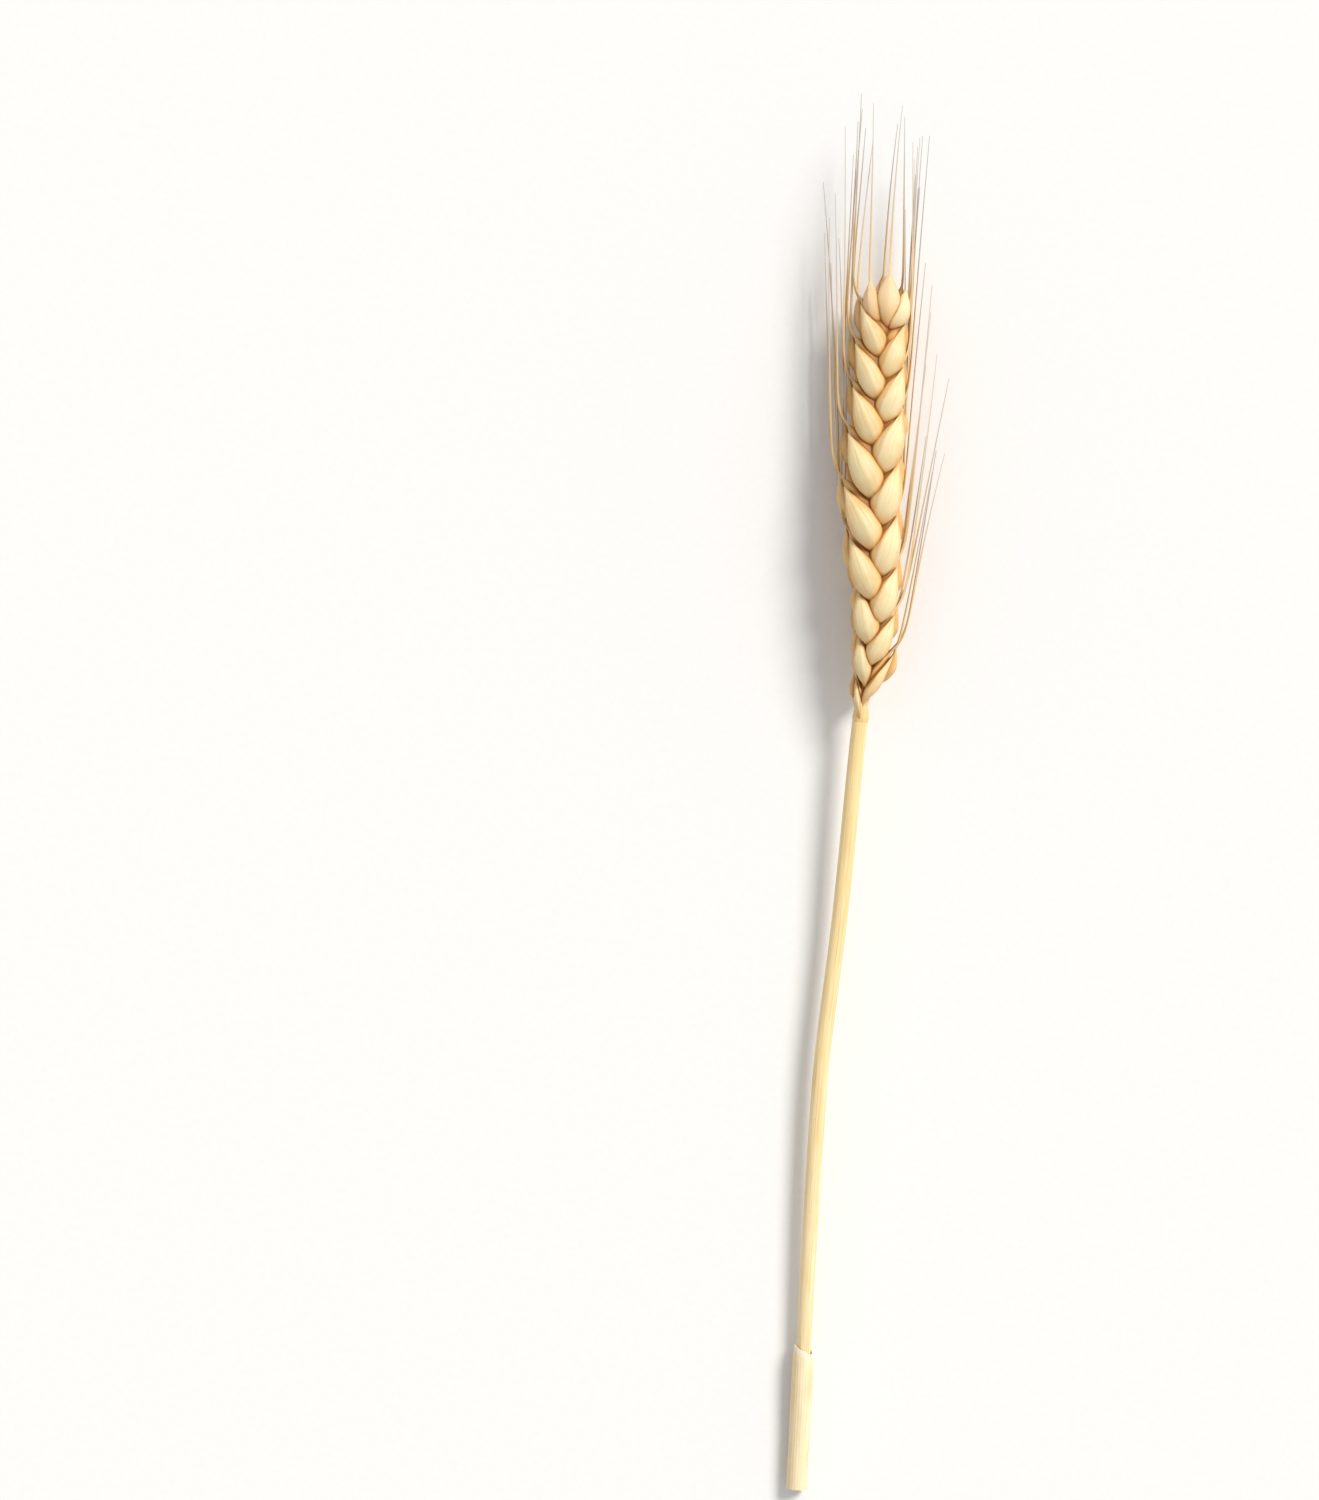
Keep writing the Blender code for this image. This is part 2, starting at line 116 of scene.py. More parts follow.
INNER_SHARE = 0.62  # how deep a scale is on the side that faces the rachis, against its back
KEEL = 0.16  # how far its back rises to an edge, against its depth

# By how many millimetres above the collar an awn starts: its length in millimetres, and how far it leans away
# from the ear as a share of its length
AWN_LENGTH = [(0, 20), (12, 38), (35, 48), (60, 46), (92, 31)]
AWN_LEAN = [(0, 0.085), (35, 0.06), (60, 0.02), (80, -0.035), (92, 0.015)]
AWN_STRAY = 0.035  # how far a single awn may lean or curl otherwise
AWN_BEND = 2.1 * MM  # over what length it turns from its scale's direction to the ear's
AWN_LOWEST = 0.42 * MM  # how high over the surface its middle line stays

# ---------------------------------------------------------------------------------------------------------
# What the dressing adds
# ---------------------------------------------------------------------------------------------------------

GLUME_WRAP = (-24, 204)  # degrees of its section that a glume's shell covers, with its back at 90
LEMMA_WRAP = (-38, 218)
OUTER_MARGIN = 26  # degrees more on the side away from the rachis
SHELL = 0.16 * MM  # thickness of a scale's wall
SHELL_EDGE = 0.3  # thickness of its papery margin, against the wall
SHELL_RINGS = 34
GLUME_COLUMNS = 28
LEMMA_COLUMNS = 24

# Ridges along a scale: place round its section in degrees, height in millimetres, spread in degrees, and the
# share of its length at which the ridge starts to rise. The first is the keel.
GLUME_RIDGES = [
    (116, 0.22, 8.0, 0.1),
    (38, 0.03, 4.0, 0.3),
    (62, 0.04, 4.0, 0.3),
    (88, 0.04, 4.0, 0.3),
    (146, 0.035, 4.0, 0.35),
]
LEMMA_RIDGES = [(90, 0.1, 6.0, 0.3)] + [(place, 0.05, 4.0, 0.4) for place in (35, 62, 118, 145)]
SCALE_UNEVEN = 0.09 * MM  # how far a scale's surface wanders
SCALE_EDGE = 5.0  # degrees that its margins wander
THINNEST = 0.02 * MM  # the least half width and half depth of its section

# What a scale holds, and the core: size against the scale's, and the two keels on the flat side
CORE_SHARE, PALEA_SHARE = 0.93, 0.86
INNER_RINGS, INNER_COLUMNS = 18, 20
PALEA_KEELS = (math.radians(232), math.radians(308))
PALEA_KEEL_SPREAD, PALEA_KEEL_RISE = 0.16, 0.07

AWN_RADII = (0.29 * MM, 0.07 * MM)  # where it leaves its scale, and at its tip
AWN_STEPS = 30
AWN_SIDES = 6
AWN_FLAT = 0.74  # its faces between the three edges, against the edges
BARB = 0.2 * MM
BARB_PITCH = 0.55 * MM
BARBS_FROM, BARBS_UNTIL = 2.5 * MM, 0.5 * MM  # from the awn's start, and short of its tip

RACHIS_RINGS, RACHIS_SIDES = 190, 32
TUFT_HAIRS = 26
TUFT_HALF_TURN = 100  # degrees to either side that a spikelet's tuft of hairs reaches
HAIR_WIDTH = 0.06 * MM
HAIR_TONE = 0.9  # marks the hairs, which are paler than the rachis

STRAW_SIDES = 72
STRAW_STEPS = 150
STRAW_BORE = [  # depth, and radius against the hollow's
    (HOLLOW_DEPTH, 0.3),
    (HOLLOW_DEPTH * 0.93, 0.85),
    (HOLLOW_DEPTH * 0.5, 1.0),
    (0.5 * MM, 1.0),
    (0.05 * MM, 1.04),
]
BORE_V = -0.02  # the bore's place along the grain, outside the straw's own 0 to 1
STRAW_RIB, STRAW_UNEVEN = 0.006, 0.012  # shares of its radius
CHIP = 0.05 * MM  # how far its cut edge is chipped

SHEATH_ROWS, SHEATH_COLUMNS = 70, 90
SHEATH_VEINS = 22
SHEATH_VEIN = 0.035 * MM  # how far a vein stands out
SHEATH_UNEVEN = 0.06 * MM
SHEATH_FRILL = 0.22 * MM  # how far its mouth is frayed
SHEATH_SLANT = 1.6 * MM  # how much lower its mouth is on the side away from the slit

# These set the painted shade in the crevices: rays sent out from each point find how closely its neighbours stand
# round it.
SHELTER_RAYS = 26
SHELTER_REACH = 4 * MM
SHELTER_START = 0.04 * MM
SHELTER_LEAST = 0.15  # rays that leave the surface flatter than this don't count
SHELTER_FADE = 0.6  # how much less a neighbour counts at full reach
SHELTER_ROUNDS = 5  # how often a point takes on half of its neighbours' shelter
PRESSED = 0.05 * MM  # how gently a scale goes over into the spot that it rests on
SURFACE_CLEARANCE = 0.01 * MM  # nothing reaches lower than this over the floor
SCALE_SEED, RACHIS_SEED, STRAW_SEED, SHEATH_SEED = 1000, 31, 5, 9


def through(points, at):
    """The value at a place, on a smooth curve through (place, value) pairs."""
    at = min(max(at, points[0][0]), points[-1][0])
    last = len(points) - 1
    i = next(k for k in range(last) if at <= points[k + 1][0])
    (x0, y0), (x1, y1) = points[i], points[i + 1]

    def slope(k):
        low, high = max(k - 1, 0), min(k + 1, last)
        return (points[high][1] - points[low][1]) / (points[high][0] - points[low][0])

    span = x1 - x0
    t = (at - x0) / span
    rise = y1 - y0
    m0, m1 = slope(i) * span, slope(i + 1) * span
    return y0 + t * (m0 + t * (3 * rise - 2 * m0 - m1 + t * (m0 + m1 - 2 * rise)))


def middle_line(distance):
    """The stalk's middle line, at a distance from the cut end."""
    place = distance / MM
    return CUT_END + Vector((through(BOW, place) * MM, distance, through(HEIGHT, place) * MM))


def stalk_frame(distance):
    """Right, up and along, at a distance from the cut end."""
    step = 1 * MM
    along = (middle_line(distance + step) - middle_line(distance - step)).normalized()
    right = along.cross(Vector((0, 0, 1))).normalized()
    return right, right.cross(along), along


def spikelet_heights():
    """How high above the collar each spikelet stands, the topmost last."""
    shares = [through(INTERNODES, i) for i in range(LATERAL_SPIKELETS)]
    heights = [FIRST_SPIKELET]
    for share in shares:
        heights.append(heights[-1] + MEAN_INTERNODE * share * LATERAL_SPIKELETS / sum(shares))
    return heights


Spikelet = namedtuple("Spikelet", "organs foot out side along height size width lean")


def spikelets():
    """Where each spikelet stands: its foot, three directions, height above the collar and size."""
    rng = random.Random(SEED)
    found = []
    *lateral, top = spikelet_heights()
    for i, height in enumerate(lateral):
        turn, reach = (-1, through(LEFT_REACH, i)) if i % 2 == 0 else (1, through(RIGHT_REACH, i))
        right, up, along = stalk_frame(CULM_LENGTH + height)
        foot = middle_line(CULM_LENGTH + height) + right * (turn * RACHIS_ZIGZAG)
        size = through(SPIKELET_SIZE, i) * rng.uniform(0.97, 1.03)
        width = through(SPIKELET_WIDTH, i)
        lean = rng.uniform(-0.03, 0.03)
        found.append(
            Spikelet(LATERAL_ORGANS, foot, right * (turn * reach), up, along, height, size, width, lean)
        )
    right, up, along = stalk_frame(CULM_LENGTH + top)
    foot = middle_line(CULM_LENGTH + top)
    found.append(Spikelet(TERMINAL_ORGANS, foot, up, right, along, top, TERMINAL_SIZE, 1.0, 0.0))
    return found


def in_spikelet(spikelet, point):
    """A spikelet's own u, v, w in millimetres as a point of the frame."""
    u, v, w = (x * MM * spikelet.size for x in point)
    v *= spikelet.width
    return spikelet.foot + spikelet.out * (u + spikelet.lean * w) + spikelet.side * v + spikelet.along * w


def scale_line(spikelet, organ, t):
    """A scale's middle line, at a share t of the way from base to tip."""
    base, belly, tip = (in_spikelet(spikelet, p) for p in (organ.base, organ.belly, organ.tip))
    return base * (1 - t) ** 2 + belly * (2 * t * (1 - t)) + tip * t**2


def scale_frame(spikelet, organ, t):
    """A scale's middle, its across and back directions and its fullness at a share t."""
    step = 0.01
    centre = scale_line(spikelet, organ, t)
    tangent = (scale_line(spikelet, organ, t + step) - scale_line(spikelet, organ, t - step)).normalized()
    u, v, w = organ.back
    back = spikelet.out * u + spikelet.side * v + spikelet.along * w
    across = tangent.cross(back).normalized()
    back = across.cross(tangent)
    fullness = max(math.sin(math.pi * t**0.92), 0.0) ** 1.2 * spikelet.size * MM
    return [np.array(v) for v in (centre, across, back)] + [fullness]


def rachis_line(height):
    """The rachis, at a height above the collar. It leans to and fro from one spikelet's foot to the next."""
    right = stalk_frame(CULM_LENGTH + height)[0]
    number = through([(h, i) for i, h in enumerate(spikelet_heights())], height)
    zigzag = RACHIS_ZIGZAG * math.cos(math.pi * number) if height > FIRST_SPIKELET else 0.0
    return middle_line(CULM_LENGTH + height) - right * zigzag * 0.5


# ---------------------------------------------------------------------------------------------------------
# Meshes
# ---------------------------------------------------------------------------------------------------------


def fade(value, low, high):
    """0 below low, 1 above high, and smooth between them; low may be the greater."""
    t = np.clip((np.asarray(value, float) - low) / (high - low), 0.0, 1.0)
    return t * t * (3 - 2 * t)


class Shape:
    """Gathers closed tubes and slivers into one mesh, with a UV map and a tone for each of them."""

    def __init__(self):
        self.points, self.faces, self.uvs, self.tones = [], [], [], []
        self.count = 0

    def _keep(self, points, tone):
        """Adds points that share one tone."""
        self.points.append(points)
        self.tones.append(np.full(len(points), tone))
        self.count += len(points)

    def tube(self, rings, across, along, tone=0.5, ends=(True, True)):
        """A closed tube through rings of points. across has one more value than a ring has points."""
        rows, columns = rings.shape[:2]
        first = self.count
        self._keep(rings.reshape(-1, 3), tone)
        for r in range(rows - 1):
            low, high = first + r * columns, first + (r + 1) * columns
            for c in range(columns):
                d = (c + 1) % columns
                self.faces.append((low + c, high + c, high + d, low + d))
                u0, u1 = across[c], across[c + 1]
                self.uvs += [(u0, along[r]), (u0, along[r + 1]), (u1, along[r + 1]), (u1, along[r])]
        for row, wanted in ((0, ends[0]), (rows - 1, ends[1])):
            if not wanted:
                continue
            pole = self.count
            self._keep(rings[row].mean(axis=0)[None], tone)
            ring = first + row * columns
            middle = (sum(across[:-1]) / columns, along[row])
            for c in range(columns):
                d = (c + 1) % columns
                one, two = (across[c], along[row]), (across[c + 1], along[row])
                if row == 0:
                    self.faces.append((pole, ring + c, ring + d))
                    self.uvs += [middle, one, two]
                else:
                    self.faces.append((pole, ring + d, ring + c))
                    self.uvs += [middle, two, one]

    def sliver(self, root, tip, width, lift, tone, along=(0.0, 1.0)):
        """A thin three-sided point from root to tip."""
        run = tip - root
        side = np.cross(run, lift)
        side = side / np.linalg.norm(side) * width / 2
        up = lift / np.linalg.norm(lift) * width / 2
        first = self.count
        self._keep(np.array([root + side, root - side, root + up, tip]), tone)
        for face in ((0, 1, 2), (0, 2, 3), (2, 1, 3), (1, 0, 3)):
            self.faces.append(tuple(first + k for k in face))
            self.uvs += [(0.5, along[1] if k == 3 else along[0]) for k in face]

    def object(self, name, sharp=55):
        """The mesh as an object in the scene, smooth but for edges sharper than so many degrees."""
        points = np.concatenate(self.points)
        points[:, 2] = np.maximum(points[:, 2], SURFACE_CLEARANCE)
        mesh = bpy.data.meshes.new(name)
        mesh.from_pydata(points.tolist(), [], self.faces)
        layer = mesh.uv_layers.new(name="Grain")
        layer.data.foreach_set("uv", np.array(self.uvs, np.float32).ravel())
        tone = mesh.attributes.new("tone", "FLOAT", "POINT")
        tone.data.foreach_set("value", np.concatenate(self.tones).astype(np.float32))
        mesh.validate()
        mesh.shade_smooth()
        mesh.set_sharp_from_angle(angle=math.radians(sharp))
        obj = bpy.data.objects.new(name, mesh)
        bpy.context.scene.collection.objects.link(obj)
        return obj


def waves(rng, count, amount):
    """A gentle, seeded unevenness over a surface with coordinates a and b."""
    terms = []
    for k in range(count):
        a_waves, b_waves, offset = rng.uniform(0.6, 3.0), rng.uniform(0.6, 3.0), rng.uniform(0, math.tau)
        terms.append((a_waves, b_waves, offset, rng.choice((-1, 1)) / (1 + k * 0.5)))
    total = sum(abs(term[3]) for term in terms)

    def height(a, b):
        return amount / total * sum(
            strength * np.sin(a_waves * a * math.tau + b_waves * b * math.tau + offset)
            for a_waves, b_waves, offset, strength in terms
        )

    return height


def shell(shape, spikelet, organ, wrap, columns, ridges, rng):
    """One scale as a thin boat: a wall with papery margins, raised nerves and a slightly uneven surface."""
    frames = [scale_frame(spikelet, organ, t) for t in shell_places()]
    mirror = float(np.dot(frames[len(frames) // 2][1], np.array(spikelet.out))) < 0
    uneven = waves(rng, 5, SCALE_UNEVEN)
    edge = waves(rng, 3, SCALE_EDGE)
    tone = rng.random()
    share = np.linspace(0, 1, columns)
    share = share + 0.35 * np.sin(math.tau * share) / math.tau  # closer together at the margins
    rings = []
    for t, (centre, across, back, fullness) in zip(shell_places(), frames):
        further = OUTER_MARGIN * float(fade(t, 0.95, 0.6))
        low = wrap[0] + edge(0.0, t) - (0.0 if mirror else further)
        high = wrap[1] + edge(1.0, t) + (further if mirror else 0.0)
        angle = low + (high - low) * share
        wall = SHELL * (SHELL_EDGE + (1 - SHELL_EDGE) * fade(np.minimum(share, 1 - share), 0.0, 0.12))
        wall = wall * float(fade(t, 0.0, 0.08) * fade(t, 1.0, 0.9)) ** 0.5
        rise = uneven(share, t) * float(fade(t, 0.02, 0.2) * fade(t, 0.98, 0.8))
        for place, height, spread, start in ridges:
            toward = 180 - place if mirror else place
            rise = rise + height * MM * np.exp(-(((angle - toward) / spread) ** 2)) * float(
                fade(t, start, start + 0.35) * fade(t, 1.0, 0.93)
            )
        turn = np.radians(angle)
        depth = np.sin(turn)
        depth = np.where(depth > 0, depth + KEEL * np.abs(depth) ** 8, depth * INNER_SHARE)
        half_width = fullness * organ.half_width * spikelet.width
        half_depth = fullness * organ.half_depth

        def ring(grow):
            wide = np.maximum(half_width + grow, THINNEST)
            deep = np.maximum(half_depth + grow, THINNEST)
            return centre + across * (wide * np.cos(turn))[:, None] + back * (deep * depth)[:, None]

        outer, inner = ring(rise), ring(rise - wall)
        under = SURFACE_CLEARANCE - np.minimum(outer[:, 2], inner[:, 2])
        lift = (under + np.sqrt(under**2 + PRESSED**2)) / 2
        outer[:, 2] += lift
        inner[:, 2] += lift
        rings.append(np.concatenate([outer, inner[::-1]]))
    across_uv = list(share) + list(share[::-1]) + [share[0]]
    shape.tube(np.array(rings), across_uv, shell_places(), tone)


def shell_places():
    """Shares of a scale's length at which its section is drawn, closer together towards both ends."""
    even = np.linspace(0.0, 1.0, SHELL_RINGS)
    return list(0.012 + 0.976 * (even - 0.12 * np.sin(math.tau * even) / math.tau * 3))


def inner_body(shape, spikelet, organ, share, rng):
    """What a scale holds: the palea round its grain, or the inner florets that the core stands for."""
    tone = rng.random()
    places = np.linspace(0.02, 0.97, INNER_RINGS)
    angle = np.linspace(0, math.tau, INNER_COLUMNS, endpoint=False)
    rings = []
    for t in places:
        centre, across, back, fullness = scale_frame(spikelet, organ, t)
        depth = np.sin(angle)
        depth = np.where(depth > 0, depth, depth * INNER_SHARE)
        keels = sum(np.exp(-(((angle - keel) / PALEA_KEEL_SPREAD) ** 2)) for keel in PALEA_KEELS)
        grow = share * (1 + PALEA_KEEL_RISE * keels)
        wide = fullness * organ.half_width * spikelet.width * grow
        deep = fullness * organ.half_depth * grow
        rings.append(centre + across * (wide * np.cos(angle))[:, None] + back * (deep * depth)[:, None])
    shape.tube(np.array(rings), list(np.linspace(0, 1, INNER_COLUMNS + 1)), list(places), tone)


def awn_path(spikelet, organ, rng):
    """An awn's points, from inside its scale to its tip. It lies on the surface where it would dip under."""
    tip = in_spikelet(spikelet, organ.tip)
    height = spikelet.height / MM + organ.tip[2]
    length = through(AWN_LENGTH, height) * MM * organ.awn * rng.uniform(0.88, 1.12)
    away = Vector((organ.tip[0], organ.tip[1])).normalized()
    lean = away * through(AWN_LEAN, height)
    lean += Vector((rng.uniform(-1, 1), rng.uniform(-1, 1))) * AWN_STRAY
    curl = Vector((rng.uniform(-1, 1), rng.uniform(-1, 1))) * AWN_STRAY
    slope = Vector((organ.tip[0] - organ.belly[0], organ.tip[1] - organ.belly[1]))
    slope /= organ.tip[2] - organ.belly[2]
    points = [scale_line(spikelet, organ, t) for t in (0.86, 0.93)]
    for k in range(AWN_STEPS):
        run = length * (k / (AWN_STEPS - 1)) ** 1.25
        turned = slope * (AWN_BEND * (1 - math.exp(-run / AWN_BEND)))
        off = turned + lean * run + curl * (run * run / length)
        point = tip + spikelet.along * run + spikelet.out * off.x + spikelet.side * off.y
        over = (point.z - AWN_LOWEST) / MM
        point.z = AWN_LOWEST + MM * (over + math.sqrt(over * over + 0.2)) / 2
        points.append(point)
    return np.array([tuple(p) for p in points])


def directions(points, hint):
    """Across, up and along at each of a line's points, with up towards the hint."""
    along = np.gradient(points, axis=0)
    along /= np.linalg.norm(along, axis=1)[:, None]
    across = np.cross(along, hint)
    across /= np.linalg.norm(across, axis=1)[:, None]
    return across, np.cross(across, along), along


def add_awn(shape, points, tone, turn, rng):
    """A tapering, three-edged bristle with small teeth that point to its tip."""
    across, up, along = directions(points, np.array((0.0, 0.0, 1.0)))
    gaps = np.linalg.norm(np.diff(points, axis=0), axis=1)
    run = np.concatenate([[0.0], np.cumsum(gaps)])
    share = run / run[-1]
    radius = AWN_RADII[0] + (AWN_RADII[1] - AWN_RADII[0]) * share**0.8
    angle = np.linspace(0, math.tau, AWN_SIDES, endpoint=False) + turn
    edge = np.where(np.arange(AWN_SIDES) % 2 == 0, 1.0, AWN_FLAT)
    rings = points[:, None] + radius[:, None, None] * edge[None, :, None] * (
        across[:, None] * np.cos(angle)[None, :, None] + up[:, None] * np.sin(angle)[None, :, None]
    )
    shape.tube(rings, list(np.linspace(0, 1, AWN_SIDES + 1)), list(share), tone)
    place = BARBS_FROM
    k = 0
    while place < run[-1] - BARBS_UNTIL:
        here = np.array([np.interp(place, run, points[:, i]) for i in range(3)])
        i = min(int(np.searchsorted(run, place)), len(run) - 1)
        a = turn + math.tau * (k % 3) / 3
        out = across[i] * math.cos(a) + up[i] * math.sin(a)
        thick = float(np.interp(place, run, radius))
        size = BARB * rng.uniform(0.75, 1.2) * (0.6 + 0.4 * thick / AWN_RADII[0])
        root = here + out * thick * 0.6
        point = root + along[i] * size + out * (thick * 0.3 + size * 0.35)
        shape.sliver(root, point, thick * 0.8, out, tone, (float(place / run[-1]),) * 2)
        place += BARB_PITCH * rng.uniform(0.8, 1.2)
        k += 1


def stalk_ring(distance, angle, radius):
    """A ring of points round the middle line."""
    right, up, _ = (np.array(v) for v in stalk_frame(distance))
    centre = np.array(middle_line(distance))
    return centre + right * (radius * np.cos(angle))[:, None] + up * (radius * np.sin(angle))[:, None]


def make_ear():
    """The glumes, the lemmas, what they hold, and the awns, each as one object."""
    glumes, lemmas, inner, awns = Shape(), Shape(), Shape(), Shape()
    awn_rng = random.Random(SEED + 1)
    for i, spikelet in enumerate(spikelets()):
        for j, organ in enumerate(spikelet.organs):
            rng = random.Random(SCALE_SEED + 10 * i + j)
            if organ.name == "core":
                inner_body(inner, spikelet, organ, CORE_SHARE, rng)
            elif organ.name == "glume":
                shell(glumes, spikelet, organ, GLUME_WRAP, GLUME_COLUMNS, GLUME_RIDGES, rng)
            else:
                shell(lemmas, spikelet, organ, LEMMA_WRAP, LEMMA_COLUMNS, LEMMA_RIDGES, rng)
                inner_body(inner, spikelet, organ, PALEA_SHARE, rng)
            if organ.awn:
                points = awn_path(spikelet, organ, awn_rng)
                add_awn(awns, points, rng.random(), rng.uniform(0, math.tau), rng)
    return glumes.object("glumes"), lemmas.object("lemmas"), inner.object("paleas"), awns.object("awns", 80)


def mark_painted_shade(pieces):
    """Gives each point a painted-shade value: how much of what it faces is taken up by its close neighbours. The
    chaff's colour is darkened by it as painted shade.
    """
    points, faces, first = [], [], 0
    for obj in pieces:
        mesh = obj.data
        places = np.empty(len(mesh.vertices) * 3, np.float32)
        mesh.vertices.foreach_get("co", places)
        points.append(places.reshape(-1, 3))
        faces += [tuple(first + v for v in face.vertices) for face in mesh.polygons]
        first += len(mesh.vertices)
    tree = BVHTree.FromPolygons(np.concatenate(points).tolist(), faces)
    turn = math.pi * (3 - math.sqrt(5))
    heights = [1 - 2 * (k + 0.5) / SHELTER_RAYS for k in range(SHELTER_RAYS)]
    rays = [
        Vector((math.sqrt(1 - z * z) * math.cos(k * turn), math.sqrt(1 - z * z) * math.sin(k * turn), z))
        for k, z in enumerate(heights)
    ]
    for obj, places in zip(pieces, points):
        mesh = obj.data
        values = []
        for vert in mesh.vertices:
            normal = vert.normal
            start = vert.co + normal * SHELTER_START
            seen = met = 0.0
            for ray in rays:
                facing = ray.dot(normal)
                if facing > SHELTER_LEAST:
                    seen += facing
                    distance = tree.ray_cast(start, ray, SHELTER_REACH)[3]
                    if distance is not None:
                        met += facing * (1 - SHELTER_FADE * distance / SHELTER_REACH)
            values.append(met / seen)
        # A point inside a neighbour is all but dark, and would show as a tooth where the two surfaces cross.
        values = np.array(values)
        edges = np.empty(len(mesh.edges) * 2, np.int32)
        mesh.edges.foreach_get("vertices", edges)
        ends = edges.reshape(-1, 2)
        linked = np.bincount(edges, minlength=len(values))
        for _ in range(SHELTER_ROUNDS):
            around = np.bincount(ends[:, 0], values[ends[:, 1]], len(values))
            around += np.bincount(ends[:, 1], values[ends[:, 0]], len(values))
            values = (values + around / np.maximum(linked, 1)) / 2
        layer = mesh.attributes.new("painted_shade", "FLOAT", "POINT")
        layer.data.foreach_set("value", values.astype(np.float32))


def make_rachis():
    """The zigzag stem inside the ear, with a tuft of short hairs under each spikelet."""
    shape = Shape()
    heights = np.linspace(-COLLAR, spikelet_heights()[-1] + RACHIS_END, RACHIS_RINGS)
    angle = np.linspace(0, math.tau, RACHIS_SIDES, endpoint=False)
    ribs = 1 + 0.018 * np.cos(9 * angle)
    rings = []
    for h in heights:
        right, up, _ = (np.array(v) for v in stalk_frame(CULM_LENGTH + h))
        centre = np.array(rachis_line(h))
        radius = through(RACHIS_RADIUS, h / MM) * MM
        flat = 1 - 0.2 * float(fade(h / MM, 1.0, 5.0))
        sideways = right * (radius * ribs * np.cos(angle))[:, None]
        rings.append(centre + sideways + up * (radius * flat * ribs * np.sin(angle))[:, None])
    along = list((heights - heights[0]) / (heights[-1] - heights[0]))
    shape.tube(np.array(rings), list(np.linspace(0, 1, RACHIS_SIDES + 1)), along)
    rng = random.Random(RACHIS_SEED)
    for spikelet in spikelets():
        foot = np.array(rachis_line(spikelet.height - 0.3 * MM))
        radius = through(RACHIS_RADIUS, spikelet.height / MM) * MM
        out, side, along = (np.array(v) for v in (spikelet.out, spikelet.side, spikelet.along))
        for k in range(TUFT_HAIRS):
            turn = -TUFT_HALF_TURN + 2 * TUFT_HALF_TURN * k / (TUFT_HAIRS - 1)
            a = math.radians(turn) + rng.uniform(-0.1, 0.1)
            away = out * math.cos(a) + side * math.sin(a)
            root = foot + away * radius * 0.9
            reach = MM * rng.uniform(0.5, 1.0)
            shape.sliver(root, root + along * reach + away * reach * 0.55, HAIR_WIDTH, away, HAIR_TONE)
    return shape.object("rachis")


def make_straw():
    """The hollow straw: finely ribbed, with a clean cut end and the pith skin inside."""
    shape = Shape()
    rng = random.Random(STRAW_SEED)
    angle = np.linspace(0, math.tau, STRAW_SIDES, endpoint=False)
    ribs = sum(
        STRAW_RIB * math.sqrt(1 / (1 + k)) * np.cos((7 + 5 * k) * angle + rng.uniform(0, math.tau))
        for k in range(5)
    )
    uneven = waves(rng, 4, STRAW_UNEVEN)
    top = CULM_LENGTH - COLLAR + 0.1 * MM
    distances = np.concatenate([[0.0, 0.12 * MM, 0.5 * MM], np.linspace(1.2 * MM, top, STRAW_STEPS)])
    rings, along = [], []
    for depth, radius in STRAW_BORE:
        rings.append(stalk_ring(depth, angle, np.full(STRAW_SIDES, HOLLOW_RADIUS * radius)))
        along.append(BORE_V)
    chips = CHIP * np.abs(np.sin(5 * angle) * np.sin(11 * angle + 1.0))
    for d in distances:
        radius = through(CULM_RADIUS, d / MM) * MM
        wave = ribs + uneven(0.0, d / CULM_LENGTH * 2)
        radius = radius * (1 + wave - (0.05 if d == 0.0 else 0.0))
        ring = stalk_ring(d, angle, radius)
        if d < 0.1 * MM:
            ring = ring + np.array(stalk_frame(0.0)[2]) * chips[:, None]
        rings.append(ring)
        along.append(d / CULM_LENGTH)
    shape.tube(np.array(rings), list(np.linspace(0, 1, STRAW_SIDES + 1)), along)
    return shape.object("straw", 50)


